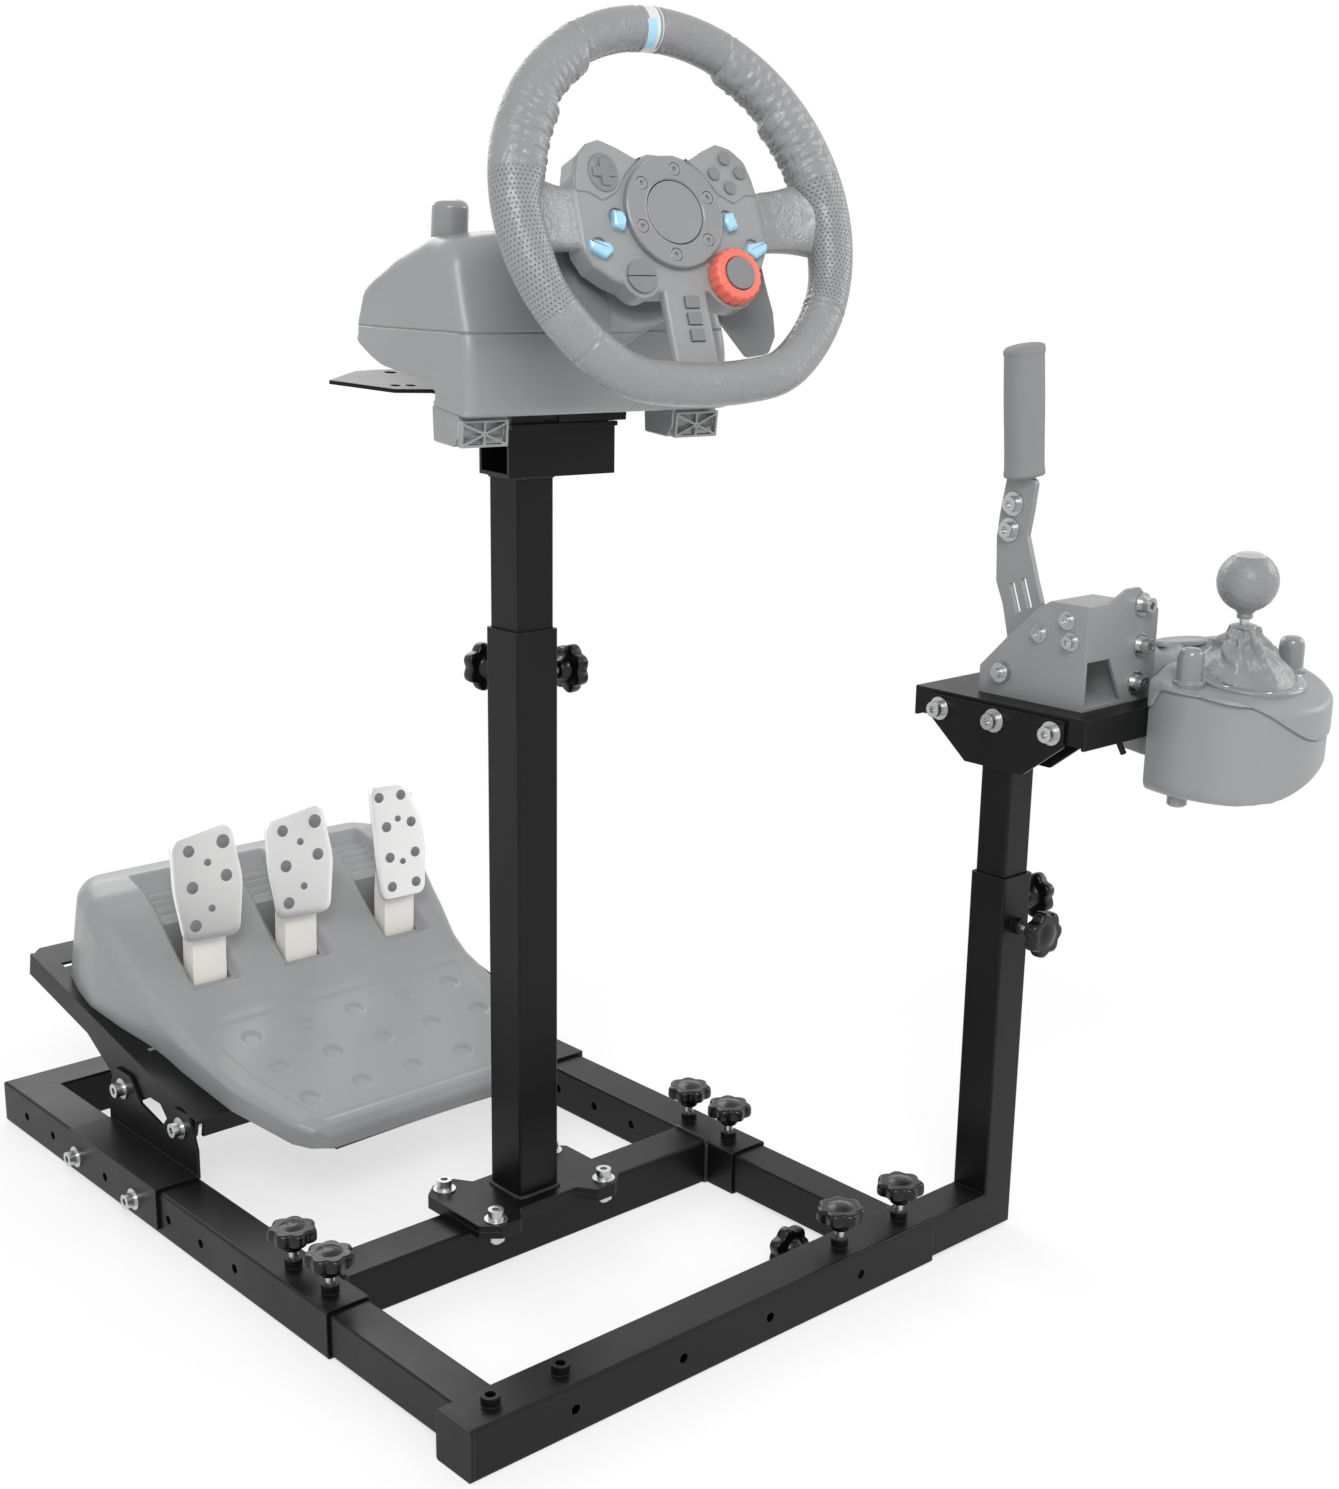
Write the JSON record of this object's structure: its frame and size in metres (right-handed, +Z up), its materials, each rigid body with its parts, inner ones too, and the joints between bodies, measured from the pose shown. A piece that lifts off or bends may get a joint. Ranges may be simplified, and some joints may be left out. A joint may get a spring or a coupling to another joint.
{
  "type": "racing simulator cockpit",
  "caption": "Open black tube stand carrying a steering wheel on a telescoping column, a tilted pedal set, and a side post with gear shifter and handbrake.",
  "frame": {"origin": "on the floor under the middle of the cross beam and the main column", "axes": "+X is the driver's right, +Y runs forward to the pedals, +Z is up"},
  "size_m": [0.7812, 0.9532, 0.9584],
  "materials": {
    "black_powder_coat": "satin black powder coat",
    "blue_plastic": "moulded",
    "brushed_pads": "brushed",
    "grey_leather": "grained",
    "grey_plastic": "moulded, fine texture",
    "grey_steel": "grey satin coat",
    "grip_foam": "foam sleeve",
    "ivory_arms": "pale satin paint",
    "knob_plastic": "glossy moulded black",
    "red_plastic": "moulded",
    "zinc_steel": "bright zinc plate"
  },
  "bodies": {
    "base_frame": {"left_side_tube": "black_powder_coat", "right_side_tube": "black_powder_coat", "rear_cross_tube": "black_powder_coat", "cross_beam": "black_powder_coat", "foot_plates": "black_powder_coat", "column_tube": "black_powder_coat", "frame_knobs": "knob_plastic", "frame_studs": "zinc_steel", "pedal_brackets": "black_powder_coat", "frame_bolts": "zinc_steel"},
    "pedal_deck": {"pedal_tray": "black_powder_coat", "pedal_base": "grey_plastic"},
    "clutch_pedal": {"clutch_arm": "ivory_arms", "clutch_pad": "brushed_pads"},
    "brake_pedal": {"brake_arm": "ivory_arms", "brake_pad": "brushed_pads"},
    "throttle_pedal": {"throttle_arm": "ivory_arms", "throttle_pad": "brushed_pads"},
    "front_frame": {"front_tube": "black_powder_coat", "front_end_cap": "black_powder_coat", "front_rails": "black_powder_coat", "front_knobs": "knob_plastic", "front_studs": "zinc_steel"},
    "shifter_post": {"post_tube": "black_powder_coat", "post_knobs": "knob_plastic", "post_studs": "zinc_steel"},
    "shifter_stand": {"stand_tube": "black_powder_coat", "stand_plates": "black_powder_coat", "stand_tray": "black_powder_coat", "stand_bolts": "zinc_steel", "handbrake_frame": "grey_steel", "handbrake_pin": "zinc_steel", "handbrake_bolts": "zinc_steel", "shifter_housing": "grey_plastic", "shifter_cover": "grey_plastic", "shifter_ring": "grey_plastic", "shifter_clamps": "grey_plastic", "gear_boot": "grey_leather"},
    "handbrake_lever": {"handbrake_arm": "grey_steel", "handbrake_arm_bolts": "zinc_steel", "handbrake_grip": "grip_foam"},
    "gear_gimbal": {"gear_pivot": "zinc_steel"},
    "gear_lever": {"gear_rod": "zinc_steel", "gear_ball": "grey_plastic"},
    "wheel_head": {"inner_tube": "black_powder_coat", "head_channel": "black_powder_coat", "head_carrier": "black_powder_coat", "wheel_plate": "black_powder_coat", "wheel_base": "grey_plastic", "base_clamps": "grey_plastic"},
    "steering_wheel": {"wheel_rim": "grey_leather", "wheel_spokes": "grey_plastic", "wheel_shaft": "zinc_steel", "hub_ring": "grey_plastic", "blue_buttons": "blue_plastic", "grey_buttons": "grey_plastic"},
    "left_paddle_body": {"left_paddle": "grey_steel"},
    "right_paddle_body": {"right_paddle": "grey_steel"},
    "dial": {"red_dial": "red_plastic"}
  },
  "joints": [
    {"name": "front_frame_slide", "type": "slide", "parent": "base_frame", "child": "front_frame", "axis": [0, 1, 0], "range_m": [-0.065, 0.125]},
    {"name": "shifter_post_slide", "type": "slide", "parent": "front_frame", "child": "shifter_post", "axis": [1, 0, 0], "range_m": [-0.05, 0.07]},
    {"name": "shifter_height", "type": "slide", "parent": "shifter_post", "child": "shifter_stand", "axis": [0, 0, 1], "range_m": [-0.09, 0.09]},
    {"name": "wheel_height", "type": "slide", "parent": "base_frame", "child": "wheel_head", "axis": [0, 0, 1], "range_m": [-0.1, 0.12]},
    {"name": "steering", "type": "hinge", "parent": "wheel_head", "child": "steering_wheel", "pos_m": [-0.03107, -0.20546, 0.829], "axis": [-0.1403, -0.9279, 0.3453], "range_deg": [-450, 450]},
    {"name": "left_paddle_pull", "type": "hinge", "parent": "steering_wheel", "child": "left_paddle_body", "pos_m": [-0.06796, -0.16851, 0.80906], "axis": [0.0516, 0.3414, 0.9385], "range_deg": [0, 6], "stiffness_Nm_per_rad": 2, "springref_deg": -5.73},
    {"name": "right_paddle_pull", "type": "hinge", "parent": "steering_wheel", "child": "right_paddle_body", "pos_m": [0.01509, -0.18107, 0.80906], "axis": [-0.0516, -0.3414, -0.9385], "range_deg": [0, 6], "stiffness_Nm_per_rad": 2, "springref_deg": -5.73},
    {"name": "dial_turn", "type": "hinge", "parent": "steering_wheel", "child": "dial", "pos_m": [0.00438, -0.22514, 0.79052], "axis": [-0.1403, -0.9279, 0.3453], "continuous": true},
    {"name": "pedal_tray_tilt", "type": "hinge", "parent": "base_frame", "child": "pedal_deck", "pos_m": [0, 0.2284, 0.0786], "axis": [1, 0, 0], "range_deg": [-4, 6]},
    {"name": "clutch_press", "type": "hinge", "parent": "pedal_deck", "child": "clutch_pedal", "pos_m": [-0.097, 0.34851, 0.13883], "axis": [-1, 0, 0], "range_deg": [0, 14], "stiffness_Nm_per_rad": 20, "springref_deg": -20.05},
    {"name": "brake_press", "type": "hinge", "parent": "pedal_deck", "child": "brake_pedal", "pos_m": [0, 0.34851, 0.13883], "axis": [-1, 0, 0], "range_deg": [0, 14], "stiffness_Nm_per_rad": 60, "springref_deg": -20.05},
    {"name": "throttle_press", "type": "hinge", "parent": "pedal_deck", "child": "throttle_pedal", "pos_m": [0.112, 0.34851, 0.13883], "axis": [-1, 0, 0], "range_deg": [0, 14], "stiffness_Nm_per_rad": 12, "springref_deg": -20.05},
    {"name": "handbrake_pull", "type": "hinge", "parent": "shifter_stand", "child": "handbrake_lever", "pos_m": [0.35, -0.2146, 0.481], "axis": [1, 0, 0], "range_deg": [0, 18], "stiffness_Nm_per_rad": 15, "springref_deg": -17.19},
    {"name": "gear_select", "type": "hinge", "parent": "shifter_stand", "child": "gear_gimbal", "pos_m": [0.449, -0.35, 0.463], "axis": [0.2924, 0.9563, 0], "range_deg": [-8, 8], "stiffness_Nm_per_rad": 3, "deforming": ["gear_boot"]},
    {"name": "gear_throw", "type": "hinge", "parent": "gear_gimbal", "child": "gear_lever", "pos_m": [0.449, -0.35, 0.463], "axis": [0.9563, -0.2924, 0], "range_deg": [-12, 12], "deforming": ["gear_boot"]}
  ]
}
